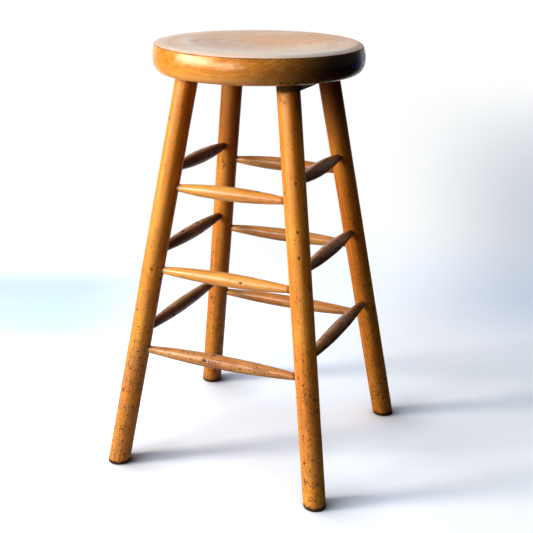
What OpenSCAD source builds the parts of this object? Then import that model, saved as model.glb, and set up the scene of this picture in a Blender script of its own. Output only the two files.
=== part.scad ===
// Four-legged wooden stool: a round dished seat on raked round legs that are
// let into it, tied by three tiers of turned rungs and stiffened underneath
// by two screwed cleats. Millimetres, +Z up. The origin is on the floor, under
// the middle of the seat; the front of the stool faces -Y.

/* [Stool] */
// Height from the floor to the top of the seat
stool_h = 730; // [600:1:820]

/* [Seat] */
// Greatest width of the seat, across the belly of its rim
seat_d = 354; // [300:1:400]
// Thickness of the seat
seat_t = 48; // [40:1:60]
// How far the crisp top edge is set in from the belly of the rim
edge_inset = 3.8; // [1:0.1:10]
// How far the crisp top edge lies below the top face
edge_drop = 3; // [1:0.1:6]
// Width of the band where the top face rolls down to its edge
roll_w = 13; // [4:0.5:20]
// Height of the belly of the rim above the underside
belly_h = 23; // [12:0.5:30]
// How far the rounded lower rim runs in under the seat
lower_round_w = 15; // [6:0.5:24]
// Width of the dished hollow in the top
dish_d = 262; // [180:1:280]
// Depth of the dished hollow at its middle
dish_depth = 8; // [3:0.5:12]
// How softly the hollow meets the top face, from 1, a sharp brim
dish_blend = 1.5; // [1:0.1:2.5]

/* [Legs] */
// Diameter of a leg
leg_d = 38.5; // [30:0.5:46]
// Distance between leg centre lines at the floor
foot_spread = 375; // [300:1:460]
// Distance between leg centre lines at the underside of the seat
top_spread = 176.5; // [150:0.5:200]
// How far a leg is let up into the seat
leg_let_in = 28; // [20:1:30]
// Width of the eased edge round the sole of a foot
foot_ease_w = 3; // [0.5:0.1:4]
// Height of the eased edge round the sole of a foot
foot_ease_h = 4; // [0.5:0.1:6]
// Eased edge round the hidden top of a leg
leg_top_ease = 1.5; // [0.5:0.1:3]

/* [Rungs] */
// Height of the lowest front and back rungs
low_rung_z = 213.2; // [120:0.1:260]
// Rise from one tier of rungs to the next
tier_step = 141.6; // [110:0.1:155]
// How much higher the side rungs sit than the front and back ones
side_lift = 28.2; // [24:0.1:60]
// Diameter of a rung where it enters a leg
rung_tip_d = 13; // [9:0.1:16]
// Diameter of a rung at its middle
rung_mid_d = 24.2; // [16:0.1:32]
// Straight neck of a rung outside the leg
rung_neck = 4; // [0:0.5:12]
// How far a rung is let into a leg
rung_let_in = 20; // [12:0.5:24]
// Eased edge round the hidden end of a rung
rung_end_ease = 1; // [0.5:0.1:2]

/* [Cleats] */
// Width of a cleat
cleat_w = 40; // [34:0.5:50]
// Thickness of a cleat
cleat_t = 13.7; // [8:0.1:18]
// How far each end of a cleat stops short of the legs' centre lines
cleat_setback = 9; // [4:0.5:14]
// Eased lower edges of a cleat
cleat_ease = 1.5; // [0.5:0.1:3]

/* [Cleat screws] */
// Screws in each cleat
screws_per_cleat = 2; // [2:1:4]
// Distance between the end screws of a cleat
screw_spread = 90; // [60:1:100]
// Length of a screw from its head to its tip
screw_l = 38; // [25:0.5:42]
// Diameter of a screw's shank
screw_d = 4.2; // [3:0.1:6]
// Diameter of a screw's head
screw_head_d = 8.4; // [7:0.1:11]
// Depth of the countersunk part of a screw's head
screw_head_h = 2.6; // [1.5:0.1:4]
// Width of the slot across a screw's head
slot_w = 1.2; // [0.6:0.1:2]
// Depth of the slot across a screw's head
slot_h = 1.1; // [0.5:0.1:1.4]
// Length of a screw's tapered point
screw_point = 6; // [3:0.5:10]

/* [Fits] */
// Gap all round a leg or rung in its socket
socket_gap = 0.1; // [0.05:0.05:0.5]
// Gap beyond the end of a leg, rung or screw in its hole
end_gap = 1; // [0.5:0.5:3]
// Gap all round a screw in its hole
screw_gap = 0.1; // [0.05:0.05:0.5]

/* [Hidden] */
TIERS = ["low", "middle", "high"];

honey = [0.80, 0.50, 0.22];
honey_dark = [0.70, 0.41, 0.16];
raw_wood = [0.62, 0.44, 0.27];
old_brass = [0.55, 0.45, 0.25];

fn_round = 96;
fn_small = 48;
arc_steps = 14;
dish_steps = 24;
rung_steps = 20;
ease_steps = 5;
ease_turn = 60;
bite = 1;

seat_r = seat_d / 2;
edge_r = seat_r - edge_inset;
underside_z = stool_h - seat_t;
belly_z = underside_z + belly_h;
edge_z = stool_h - edge_drop;
rim_turn = 2 * atan(edge_inset / (edge_z - belly_z));
rim_round = (edge_z - belly_z) / sin(rim_turn);
dish_r = dish_d / 2;

leg_r = leg_d / 2;
socket_r = leg_r + socket_gap;
leg_shift = (foot_spread - top_spread) / 2;
leg_slope = leg_shift / underside_z;
leg_lean = atan(leg_slope * sqrt(2));

cleat_z = underside_z - cleat_t;
cleat_x = leg_offset(underside_z - cleat_t / 2);
cleat_l = 2 * (leg_offset(cleat_z) - cleat_setback);
screw_pitch = screw_spread / (screws_per_cleat - 1);

// How far a leg's centre line is from the middle plane, at height z
function leg_offset(z) = foot_spread / 2 - leg_slope * z;

// Height of a rung's centre line: tier 0 to 2, lift 0 for front and back
function rung_z(tier, lift) = low_rung_z + tier * tier_step + lift;

// How full a rung's belly is, from u = 0 at one neck to u = 1 at the other: one shallow arc
function belly(u) = 1 - pow(2 * u - 1, 2);

// Radius of a rung at u along its belly
function rung_r(u) = rung_tip_d / 2 + (rung_mid_d - rung_tip_d) / 2 * belly(u);

// ---- Seat ----

// Half section of the seat, from the middle of the dish round to the underside. Above
// the belly the rim is one shallow arc of radius rim_round, up to the crisp top edge.
function seat_outline() = concat(
    [for (i = [0 : dish_steps])
        let (r = dish_r * i / dish_steps)
        [r, stool_h - dish_depth * pow(cos(90 * i / dish_steps), dish_blend)]],
    [for (i = [0 : arc_steps - 1])
        let (u = i / arc_steps)
        [edge_r - roll_w * (1 - u), stool_h - edge_drop * u * u]],
    [for (i = [0 : arc_steps - 1])
        let (a = rim_turn * (1 - i / arc_steps))
        [seat_r - rim_round * (1 - cos(a)), belly_z + rim_round * sin(a)]],
    [for (i = [0 : arc_steps])
        let (a = 90 * i / arc_steps)
        [seat_r - lower_round_w * (1 - cos(a)), belly_z - belly_h * sin(a)]],
    [[0, underside_z]]
);

module seat() {
    color(honey)
    difference() {
        rotate_extrude($fn = fn_round)
            polygon(seat_outline());
        for (sx = [-1, 1], sy = [-1, 1])
            along_leg(sx, sy)
                leg_socket();
        for (side = [-1, 1])
            at_cleat_screws(side)
                translate([0, 0, cleat_t - bite])
                    cylinder(h = screw_l - cleat_t + end_gap + bite, d = screw_d + 2 * screw_gap, $fn = fn_small);
    }
}

// ---- Legs ----

// Puts its children on a leg's centre line, with z along the leg from the floor
module along_leg(sx, sy) {
    translate([sx * foot_spread / 2, sy * foot_spread / 2, 0])
        rotate([0, leg_lean, atan2(-sy, -sx)])
            children();
}

// Distance along a leg from the floor to height z
function on_leg(z) = z / cos(leg_lean);

// The blind hole in the seat, wide enough to clear the leg, which it stops above
module leg_socket() {
    z_mouth = on_leg(underside_z - cleat_t - leg_d);
    z_floor = on_leg(underside_z + leg_let_in) + end_gap;
    translate([0, 0, z_mouth])
        cylinder(h = z_floor - z_mouth, r = socket_r, $fn = fn_round);
}

// A leg's round stock, from below the floor to its eased top in the seat
module leg_stock() {
    top = on_leg(underside_z + leg_let_in);
    rotate_extrude($fn = fn_round)
        polygon([
            [0, -leg_d],
            [leg_r, -leg_d],
            [leg_r, top - leg_top_ease],
            [leg_r - leg_top_ease, top],
            [0, top]
        ]);
}

// The sole of a foot: sawn level with the floor, its edge rounded over all round.
// The rounding stops short of upright and runs on straight, so that it dies out
// evenly on both flanks of a raked leg.
module above_sole(sx, sy) {
    run_on = foot_ease_w * cos(ease_turn) / (foot_ease_h * sin(ease_turn));
    turn_r = leg_r - foot_ease_w * (1 - sin(ease_turn));
    turn_z = foot_ease_h * (1 - cos(ease_turn));
    translate([sx * foot_spread / 2, sy * foot_spread / 2, 0])
        rotate_extrude($fn = fn_round)
            polygon(concat(
                [for (i = [0 : ease_steps])
                    let (a = ease_turn * i / ease_steps)
                    [leg_r - foot_ease_w * (1 - sin(a)), foot_ease_h * (1 - cos(a))]],
                [[turn_r + run_on * (stool_h - turn_z), stool_h], [0, stool_h], [0, 0]]
            ));
}

module leg(sx, sy) {
    color(honey)
    difference() {
        intersection() {
            along_leg(sx, sy)
                leg_stock();
            above_sole(sx, sy);
        }
        for (tier = [0 : 2]) {
            mortise(sx, sy, rung_z(tier, 0), 0);
            mortise(sx, sy, rung_z(tier, side_lift), 1);
        }
    }
}

// A rung's blind hole in a leg, bored level: turned 0 for front and back rungs
module mortise(sx, sy, z, turned) {
    reach = leg_r - rung_let_in - end_gap;
    towards = turned ? (sy > 0 ? -90 : 90) : (sx > 0 ? 180 : 0);
    translate([sx * leg_offset(z), sy * leg_offset(z), z])
        rotate([0, 0, towards])
            translate([reach, 0, 0])
                rotate([0, 90, 0])
                    cylinder(h = leg_d, d = rung_tip_d + 2 * socket_gap, $fn = fn_small);
}

// ---- Rungs ----

// A turned rung lying along x, centred, for legs whose centre lines are span apart
module rung_turning(span) {
    half_l = span / 2 - leg_r + rung_let_in;
    half_belly = span / 2 - leg_r - rung_neck;
    color(honey_dark)
    rotate([0, 90, 0])
        rotate_extrude($fn = fn_small)
            polygon(concat(
                [[0, -half_l]],
                [[rung_tip_d / 2 - rung_end_ease, -half_l]],
                [[rung_tip_d / 2, rung_end_ease - half_l]],
                [for (i = [0 : rung_steps])
                    let (u = i / rung_steps)
                    [rung_r(u), half_belly * (2 * u - 1)]],
                [[rung_tip_d / 2, half_l - rung_end_ease]],
                [[rung_tip_d / 2 - rung_end_ease, half_l]],
                [[0, half_l]]
            ));
}

// Front and back rungs run left to right: sy is -1 for the front
module rung_across(sy, tier) {
    z = rung_z(tier, 0);
    translate([0, sy * leg_offset(z), z])
        rung_turning(2 * leg_offset(z));
}

// Side rungs run front to back: sx is -1 for the left
module rung_along(sx, tier) {
    z = rung_z(tier, side_lift);
    translate([sx * leg_offset(z), 0, z])
        rotate([0, 0, 90])
            rung_turning(2 * leg_offset(z));
}

// ---- Cleats and their screws ----

// Puts its children at each screw of a cleat, with z up from the cleat's face
module at_cleat_screws(side) {
    for (i = [0 : screws_per_cleat - 1])
        translate([side * cleat_x, i * screw_pitch - screw_spread / 2, cleat_z])
            children();
}

// A cleat's cross section, its two lower edges eased
module cleat_section() {
    polygon([
        [-cleat_w / 2, cleat_t],
        [-cleat_w / 2, cleat_ease],
        [cleat_ease - cleat_w / 2, 0],
        [cleat_w / 2 - cleat_ease, 0],
        [cleat_w / 2, cleat_ease],
        [cleat_w / 2, cleat_t]
    ]);
}

// A cleat lies under the seat across its grain, coped to the two legs on its side
module cleat(side) {
    color(honey_dark)
    difference() {
        translate([side * cleat_x, cleat_l / 2, cleat_z])
            rotate([90, 0, 0])
                linear_extrude(height = cleat_l)
                    cleat_section();
        for (sy = [-1, 1])
            along_leg(side, sy)
                leg_socket();
        at_cleat_screws(side)
            screw_hole();
    }
}

// Countersunk hole through a cleat
module screw_hole() {
    hole_r = screw_d / 2 + screw_gap;
    sink_r = screw_head_d / 2 + screw_gap;
    translate([0, 0, -bite])
        cylinder(h = cleat_t + 2 * bite, r = hole_r, $fn = fn_small);
    cylinder(h = screw_head_h, r1 = sink_r, r2 = hole_r, $fn = fn_small);
    translate([0, 0, -bite])
        cylinder(h = bite, r = sink_r, $fn = fn_small);
}

// A slotted countersunk wood screw, its head's face at z = 0 and its point up
module wood_screw() {
    difference() {
        rotate_extrude($fn = fn_small)
            polygon([
                [0, 0],
                [screw_head_d / 2, 0],
                [screw_d / 2, screw_head_h],
                [screw_d / 2, screw_l - screw_point],
                [0, screw_l]
            ]);
        translate([-screw_head_d, -slot_w / 2, -bite])
            cube([2 * screw_head_d, slot_w, slot_h + bite]);
    }
}

module cleat_screws() {
    color(old_brass)
    for (side = [-1, 1])
        at_cleat_screws(side)
            wood_screw();
}

seat();
leg(-1, -1);  // leg_front_left
leg(1, -1);  // leg_front_right
leg(1, 1);  // leg_back_right
leg(-1, 1);  // leg_back_left
for (tier = [0 : 2]) {
    rung_across(-1, tier);
    rung_across(1, tier);
    rung_along(-1, tier);
    rung_along(1, tier);
}
cleat(-1);  // cleat_left
cleat(1);  // cleat_right
cleat_screws();
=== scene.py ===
# The looks of a four-legged wooden stool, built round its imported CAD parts.
# Metres, +Z up, origin on the floor under the middle of the seat.
import math
from functools import reduce

import bpy
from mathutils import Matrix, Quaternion, Vector, noise


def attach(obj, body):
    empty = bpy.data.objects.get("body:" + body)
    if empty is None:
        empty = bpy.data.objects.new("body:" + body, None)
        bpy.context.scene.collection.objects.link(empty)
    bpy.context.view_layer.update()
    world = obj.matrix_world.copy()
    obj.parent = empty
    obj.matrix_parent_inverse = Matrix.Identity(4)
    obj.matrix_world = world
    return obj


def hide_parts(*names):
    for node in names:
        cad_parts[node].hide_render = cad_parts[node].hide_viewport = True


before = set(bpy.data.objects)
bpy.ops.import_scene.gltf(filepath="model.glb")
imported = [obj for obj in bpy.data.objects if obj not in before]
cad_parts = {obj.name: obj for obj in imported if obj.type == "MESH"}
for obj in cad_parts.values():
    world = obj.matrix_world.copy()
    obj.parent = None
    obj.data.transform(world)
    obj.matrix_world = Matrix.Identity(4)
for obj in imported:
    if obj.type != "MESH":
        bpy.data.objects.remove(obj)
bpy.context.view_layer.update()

# ---- The room ----
# A pale studio floor that fades into white, two soft windows on the left that
# light the stool, two pale ones that only mirror in its varnish, and the camera.

scene = bpy.context.scene
camera_azimuth = math.radians(23.327)
camera_elevation = math.radians(19.080)
camera_roll = math.radians(0.4575)
camera_at = Vector((0.71124, -1.61148, 0.94464))
camera_lens = 70.80
sensor_width = 36

to_camera = Vector((
    math.sin(camera_azimuth) * math.cos(camera_elevation),
    -math.cos(camera_azimuth) * math.cos(camera_elevation),
    math.sin(camera_elevation),
))
level_right = Vector((math.cos(camera_azimuth), math.sin(camera_azimuth), 0))
level_away = Vector((-math.sin(camera_azimuth), math.cos(camera_azimuth), 0))

camera_data = bpy.data.cameras.new("camera")
camera_data.sensor_width = sensor_width
camera_data.lens = camera_lens
camera = bpy.data.objects.new("camera", camera_data)
camera.rotation_mode = "QUATERNION"
camera.location = camera_at
camera.rotation_quaternion = Quaternion(to_camera, camera_roll) @ to_camera.to_track_quat("Z", "Y")
scene.collection.objects.link(camera)
scene.camera = camera
scene.view_settings.view_transform = "Standard"


def wire(tree, kind, inputs=None, out=0, **settings):
    """Adds a node, sets or links its inputs by name or number, and gives back one output."""
    made = tree.nodes.new(kind)
    for name, value in settings.items():
        setattr(made, name, value)
    for name, value in (inputs or {}).items():
        if isinstance(value, bpy.types.NodeSocket):
            tree.links.new(value, made.inputs[name])
        else:
            made.inputs[name].default_value = value
    return made.outputs[out] if len(made.outputs) else made


def sums(tree, operation, a, b=0.0, clamp=False):
    return wire(tree, "ShaderNodeMath", {0: a, 1: b}, operation=operation, use_clamp=clamp)


def times(tree, *parts):
    return reduce(lambda a, b: sums(tree, "MULTIPLY", a, b), parts)


def plus(tree, *parts):
    return reduce(lambda a, b: sums(tree, "ADD", a, b), parts)


def minus(tree, a, b, clamp=False):
    return sums(tree, "SUBTRACT", a, b, clamp)


def largest(tree, *parts):
    return reduce(lambda a, b: sums(tree, "MAXIMUM", a, b), parts)


def vectors(tree, operation, a, b=(0, 0, 0)):
    out = 1 if operation in ("DOT_PRODUCT", "LENGTH") else 0
    return wire(tree, "ShaderNodeVectorMath", {0: a, 1: b}, out, operation=operation)


def split(tree, place):
    """The x, y and z of a place."""
    return wire(tree, "ShaderNodeSeparateXYZ", {0: place}).node.outputs


def ramp(tree, value, low, high, to_low=0.0, to_high=1.0, smooth=True):
    return wire(
        tree, "ShaderNodeMapRange",
        {"Value": value, "From Min": low, "From Max": high, "To Min": to_low, "To Max": to_high},
        interpolation_type="SMOOTHSTEP" if smooth else "LINEAR",
    )


def blend_colours(tree, amount, a, b, mode="MIX"):
    made = tree.nodes.new("ShaderNodeMix")
    made.data_type = "RGBA"
    made.blend_type = mode
    for name, value in (("Factor_Float", amount), ("A_Color", a), ("B_Color", b)):
        socket = next(s for s in made.inputs if s.identifier == name)
        if isinstance(value, bpy.types.NodeSocket):
            tree.links.new(value, socket)
        else:
            socket.default_value = value
    return next(s for s in made.outputs if s.identifier == "Result_Color")


def seen_rays(tree):
    """One for the rays that see a surface directly, in gloss or through glass; nought for the rest."""
    path = tree.nodes.new("ShaderNodeLightPath").outputs
    return largest(tree, path["Is Camera Ray"], path["Is Glossy Ray"], path["Is Transmission Ray"])


def far_side(tree, direction):
    """One for directions towards the bright side of the room, behind the stool; nought for the rest."""
    return ramp(tree, vectors(tree, "DOT_PRODUCT", direction, level_away), 0.72, 0.88)


def bare_material(name):
    """A new material and its emptied node tree."""
    made = bpy.data.materials.new(name)
    made.use_nodes = True
    made.node_tree.nodes.clear()
    return made, made.node_tree


floor_radius = 9.0
floor_sides = 96
floor_near = 0.75
floor_far = 1.5
floor_gain = 1.21
floor_far_glow = 1.06
# The shade in the far right corner fans out from a point in front of the stool.
shade_fan_front = 2.25
shade_fan_scale = 3.05
# Close to a sole the floor is painted darker as contact shadow, more so on its right.
floor_contact = 0.11
floor_lean = Vector((0, 0, 0.7)) - level_right
# Only a patch of floor on the lit side throws light back on to the stool.
floor_bounce = 0.62
bounce_at = -0.60 * level_right - 0.38 * level_away
bounce_near = 0.40
bounce_wide = 0.90
floor_white = (0.945, 0.955, 0.955, 1)
floor_near_shade = (0.86, 0.835, 0.785, 1)
floor_shade = (0.575, 0.615, 0.68, 1)
floor_cool = (0.60, 0.72, 0.78, 1)
floor_contact_shadow = (0.12, 0.09, 0.07, 1)


def paint_floor():
    """White; painted shade on the right and behind, a cool tint behind on the left, painted contact shadow
    round its soles.
    """
    floor_paint, tree = bare_material("studio_floor")
    place = wire(tree, "ShaderNodeTexCoord", out=3)
    right = vectors(tree, "DOT_PRODUCT", place, level_right)
    away = vectors(tree, "DOT_PRODUCT", place, level_away)
    # Painted shade: the floor greyer near the stool on its right.
    near = times(
        tree, ramp(tree, right, 0.0, 0.42),
        ramp(tree, away, -0.50, -0.14), ramp(tree, away, 1.1, 0.6),
    )
    tint = blend_colours(tree, near, floor_white, floor_near_shade)
    fan_width = largest(tree, plus(tree, away, shade_fan_front), 0.1)
    aside = sums(tree, "DIVIDE", times(tree, right, shade_fan_scale), fan_width)
    shade = times(
        tree, ramp(tree, aside, 0.29, 0.76),
        ramp(tree, away, 0.30, 0.80), ramp(tree, away, 4.5, 1.5),
    )
    tint = blend_colours(tree, shade, tint, floor_shade)
    cool = times(
        tree, ramp(tree, away, 0.20, 0.62), ramp(tree, away, 1.0, 0.78),
        ramp(tree, right, -0.15, -0.50),
    )
    tint = blend_colours(tree, cool, tint, floor_cool)
    # Painted contact shadow round the soles, from ambient occlusion.
    open_sky = wire(
        tree, "ShaderNodeAmbientOcclusion",
        {"Distance": floor_contact, "Normal": vectors(tree, "NORMALIZE", floor_lean)},
        out=1, samples=16,
    )
    open_sky = ramp(tree, open_sky, 0.35, 1.0, smooth=False)
    sole_shadow = blend_colours(tree, open_sky, floor_contact_shadow, (1, 1, 1, 1))
    tint = blend_colours(tree, 1.0, tint, sole_shadow, "MULTIPLY")

    from_lit = vectors(tree, "LENGTH", vectors(tree, "SUBTRACT", place, bounce_at))
    bounce = ramp(tree, from_lit, bounce_wide, bounce_near, 0.0, floor_bounce)
    camera_sees = wire(tree, "ShaderNodeLightPath", out=0)
    seen_far = times(tree, seen_rays(tree), far_side(tree, vectors(tree, "NORMALIZE", place)))
    seen_far = largest(tree, camera_sees, seen_far)
    gain = largest(tree, bounce, times(tree, seen_far, floor_gain))
    lit_colour = vectors(tree, "SCALE", tint)
    tree.links.new(gain, lit_colour.node.inputs["Scale"])
    lit = wire(tree, "ShaderNodeBsdfDiffuse", {"Color": lit_colour})
    far_glow = times(tree, seen_far, floor_far_glow)
    far = wire(tree, "ShaderNodeEmission", {"Color": tint, "Strength": far_glow})
    spread = ramp(tree, vectors(tree, "LENGTH", place), floor_near, floor_far)
    both = wire(tree, "ShaderNodeMixShader", {0: spread, 1: lit, 2: far})
    wire(tree, "ShaderNodeOutputMaterial", {"Surface": both})
    return floor_paint


floor_mesh = bpy.data.meshes.new("floor")
floor_angles = [math.tau * i / floor_sides for i in range(floor_sides)]
floor_points = [(floor_radius * math.cos(a), floor_radius * math.sin(a), 0) for a in floor_angles]
floor_mesh.from_pydata(floor_points, [], [range(floor_sides)])
floor_mesh.materials.append(paint_floor())
floor = bpy.data.objects.new("floor", floor_mesh)
scene.collection.objects.link(floor)

world_fill = 0.008
ceiling_fill = 1.85
room_dim = (0.06, 0.065, 0.075, 1)
room_warm = (1.0, 0.62, 0.36, 1)
room_cool = (0.84, 0.965, 1.20, 1)
world = bpy.data.worlds.new("room")
world.use_nodes = True
scene.world = world
tree = world.node_tree
tree.nodes.clear()
facing = wire(tree, "ShaderNodeTexCoord", out=0)
above = split(tree, facing)[2]
camera_sees = wire(tree, "ShaderNodeLightPath", out=0)
bright = largest(tree, camera_sees, far_side(tree, facing))
room_seen = blend_colours(tree, bright, room_dim, (1, 1, 1, 1))
room_unseen = blend_colours(tree, ramp(tree, above, 0.3, 0.6), room_warm, room_cool)
fill = plus(tree, world_fill, times(tree, ramp(tree, above, 0.75, 0.96), ceiling_fill))
seen = seen_rays(tree)
glow = wire(tree, "ShaderNodeBackground", {
    "Color": blend_colours(tree, seen, room_unseen, room_seen), "Strength": largest(tree, seen, fill),
})
wire(tree, "ShaderNodeOutputWorld", {"Surface": glow})

window_aim_z = 0.55


def hang_window(name, azimuth, width, tall, watts, lights, tint=(1, 1, 1), distance=3.6, height=1.61):
    """A window round the stool from the camera: it lights the stool, or only mirrors in the varnish."""
    data = bpy.data.lights.new(name, "AREA")
    data.shape = "RECTANGLE"
    data.size = width
    data.size_y = tall
    data.energy = watts
    data.color = tint
    window = bpy.data.objects.new(name, data)
    around = camera_azimuth + math.radians(azimuth)
    window.location = (distance * math.sin(around), -distance * math.cos(around), height)
    window.rotation_mode = "QUATERNION"
    window.rotation_quaternion = (Vector((0, 0, window_aim_z)) - window.location).to_track_quat("-Z", "Y")
    window.visible_diffuse = lights
    window.visible_glossy = not lights
    scene.collection.objects.link(window)


sun_tint = (1.0, 0.958, 0.89)
sky_tint = (0.90, 0.97, 1.10)
hang_window("sun_window", azimuth=-79, width=0.92, tall=1.2, watts=143.0, lights=True, tint=sun_tint)
hang_window("sky_window", azimuth=-63, width=2.3, tall=1.27, watts=98.0, lights=True, tint=sky_tint)
hang_window("tall_window", azimuth=-72, width=2.85, tall=1.27, watts=225.0, lights=False)
hang_window(
    "far_window", azimuth=-33, width=1.6, tall=0.6, watts=40.0, lights=False, distance=3.0, height=1.1,
)


# ---- The seat ----
# A round plank seat turned on a faceplate: dished to sit in, a crisp top edge
# and a bellied rim. Old honey varnish, worn pale and lower where people slide on;
# the top is painted paler with glare, the lower rim with bounce light, and the
# shaded end of the rim nearly black.

stool_h = 0.730
seat_r = 0.177
seat_t = 0.048
under_z = stool_h - seat_t
edge_inset = 0.0038
edge_drop = 0.003
edge_r = seat_r - edge_inset
edge_z = stool_h - edge_drop
roll_w = 0.013
belly_h = 0.023
rim_belly_z = under_z + belly_h
lower_round_w = 0.015
dish_r = 0.131
dish_depth = 0.008
dish_blend = 1.5
seat_turns = 480
seat_swell = 0.00035
swell_coarse = 28.0
swell_fine = 75.0
swell_grow_w = 0.02
arris_r = 0.0006
wear_even = 0.00045
wear_swing = 0.00255
wear_low_side = math.radians(-22)
glare_side = (0.396, -0.918, 0)
calm_at = (0.03, 0.070, 0)
calm_size = (0.085, 0.055, 1)
calm_turn = (0, 0, 0.35)
shaded_end_side = (0.985, 0.174, 0)
smear_at = (0.1705, -0.0100, 0.7075)
smear_size = (0.02, 0.030, 0.0037)
smear_lean = (0.32, 0, 0)

honey = (0.88, 0.32, 0.036, 1)
honey_pale = (0.94, 0.40, 0.055, 1)
honey_deep = (0.64, 0.18, 0.014, 1)
painted_bounce_honey = (1.0, 0.45, 0.10, 1)
dirt_and_shade_dark = (0.035, 0.014, 0.006, 1)
seat_worn_and_glare = (0.87, 0.60, 0.41, 1)
seat_bare_and_glare = (0.95, 0.835, 0.68, 1)
seat_dirt = (0.46, 0.36, 0.27, 1)
end_grain_and_shade = (0.022, 0.006, 0.003, 1)
ink = (0.012, 0.085, 0.38, 1)


def joined(tree, x=0.0, y=0.0, z=0.0):
    return wire(tree, "ShaderNodeCombineXYZ", {0: x, 1: y, 2: z})


def mottle(tree, place, scale, detail=2.0, rough=0.5, twist=0.0, out=0):
    """Cloudy noise from nought to one."""
    return wire(tree, "ShaderNodeTexNoise", {
        "Vector": place, "Scale": scale, "Detail": detail, "Roughness": rough, "Distortion": twist,
    }, out)


def oval_place(tree, place, centre, size, lean):
    """A place measured from the middle of a leaning oval, so that its length is one at the oval's edge."""
    return wire(
        tree, "ShaderNodeMapping",
        {"Vector": place, "Location": centre, "Rotation": lean, "Scale": size},
        vector_type="TEXTURE",
    )


def aged_wood(
    name, base, pale, deep, marks=(), finish=None, own_grain=True, pits=1.0, depth=0.0004,
    ring_centre=(0.0, 0.03, 0.0), ring_gap=0.0045, ring_show=0.30, hair_show=0.48, hair_size=(1500, 26),
    dullness=0.36, sheen=0.5, sheen_tint=(1, 1, 1, 1),
):
    """Varnished wood whose grain runs along z of the piece's own grain coordinates.

    Rings are its year rings, hairs the fine dark lines along the grain, pits the specks in the varnish,
    marks its larger dents (place, size and lean), and finish adds the piece's own wear and painted light and
    shade.
    """
    wood, tree = bare_material(name)
    place = wire(tree, "ShaderNodeTexCoord", out=3)
    if own_grain:
        grain = wire(tree, "ShaderNodeAttribute", out=1, attribute_name="grain")
    else:
        x, y, z = split(tree, place)
        grain = joined(tree, x, z, y)

    def stretched(across, along, rise=(0, 0, 0)):
        return wire(tree, "ShaderNodeMapping", {
            "Vector": grain, "Location": rise, "Scale": (across, across, along),
        })

    streaks = mottle(tree, stretched(190, 7), 1.0, 5.0, 0.6, 0.4)
    hairs = mottle(tree, stretched(*hair_size), 1.0, 3.0, 0.6)
    clouds = mottle(tree, stretched(24, 9, (3, 1, 2)), 1.0, 3.0)
    heart = wire(tree, "ShaderNodeMapping", {"Vector": grain, "Location": ring_centre, "Scale": (1, 1, 0.06)})
    gap_at_scale_one = 0.314
    rings = wire(
        tree, "ShaderNodeTexWave",
        {
            "Vector": heart, "Scale": gap_at_scale_one / ring_gap, "Distortion": 2.2,
            "Detail": 3.0, "Detail Scale": 0.6, "Detail Roughness": 0.6,
        },
        out=1, wave_type="RINGS", rings_direction="Z", wave_profile="SAW",
    )
    colour = blend_colours(tree, ramp(tree, streaks, 0.36, 0.66), deep, base)
    colour = blend_colours(tree, ramp(tree, clouds, 0.42, 0.72, 0.0, 0.75), colour, pale)
    colour = blend_colours(tree, ramp(tree, rings, 0.55, 1.0, 0.0, ring_show), colour, deep)
    colour = blend_colours(tree, ramp(tree, hairs, 0.57, 0.72, 0.0, hair_show), colour, deep)

    pit_place = wire(tree, "ShaderNodeMapping", {"Vector": grain, "Scale": (105, 105, 62)})
    pit_jitter = mottle(tree, stretched(900, 500), 1.0, out=1)
    pit_place = vectors(tree, "ADD", pit_place, vectors(tree, "MULTIPLY", pit_jitter, (0.22, 0.22, 0.22)))
    pit_cells = wire(tree, "ShaderNodeTexVoronoi", {"Vector": pit_place, "Scale": 1.0, "Randomness": 1.0})
    pit_pick = wire(tree, "ShaderNodeSeparateColor", {0: pit_cells.node.outputs["Color"]})
    pit_size = ramp(tree, pit_pick, 0.62, 1.0, 0.0, 0.26 * pits, smooth=False)
    pit_edge = minus(tree, pit_size, pit_cells)
    pit_mask = ramp(tree, pit_edge, 0.0, 0.06)
    pit_rim = ramp(tree, pit_edge, -0.10, 0.02)

    darkening = pit_mask
    for spot, size, lean in marks:
        near = oval_place(tree, grain, spot, size, lean)
        near = vectors(tree, "ADD", near, vectors(tree, "MULTIPLY", pit_jitter, (0.5, 0.5, 0.5)))
        reach = vectors(tree, "LENGTH", near)
        darkening = largest(tree, darkening, ramp(tree, reach, 1.35, 0.85))
    gloss = ramp(tree, clouds, 0.3, 0.7, dullness - 0.05, dullness + 0.05)
    if finish:
        colour, darkening, gloss = finish(tree, place, colour, darkening, gloss)
    # Dirt, marks and the painted shade that finishes add all darken the colour here.
    colour = blend_colours(tree, times(tree, darkening, 0.88), colour, dirt_and_shade_dark)

    relief = plus(
        tree, times(tree, hairs, -0.10), times(tree, pit_rim, -0.8),
        times(tree, darkening, -0.6), times(tree, streaks, 0.16),
    )
    bump = wire(tree, "ShaderNodeBump", {"Height": relief, "Strength": 0.7, "Distance": depth})
    gloss = plus(tree, gloss, times(tree, darkening, 0.5))
    shell = wire(tree, "ShaderNodeBsdfPrincipled", {
        "Base Color": colour, "Roughness": gloss, "Normal": bump,
        "IOR": 1.5, "Specular IOR Level": sheen, "Specular Tint": sheen_tint,
    })
    wire(tree, "ShaderNodeOutputMaterial", {"Surface": shell})
    return wood


def steps(count):
    """Even steps from nought up to one, which is where the next stretch begins."""
    return [i / count for i in range(count)]


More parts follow.
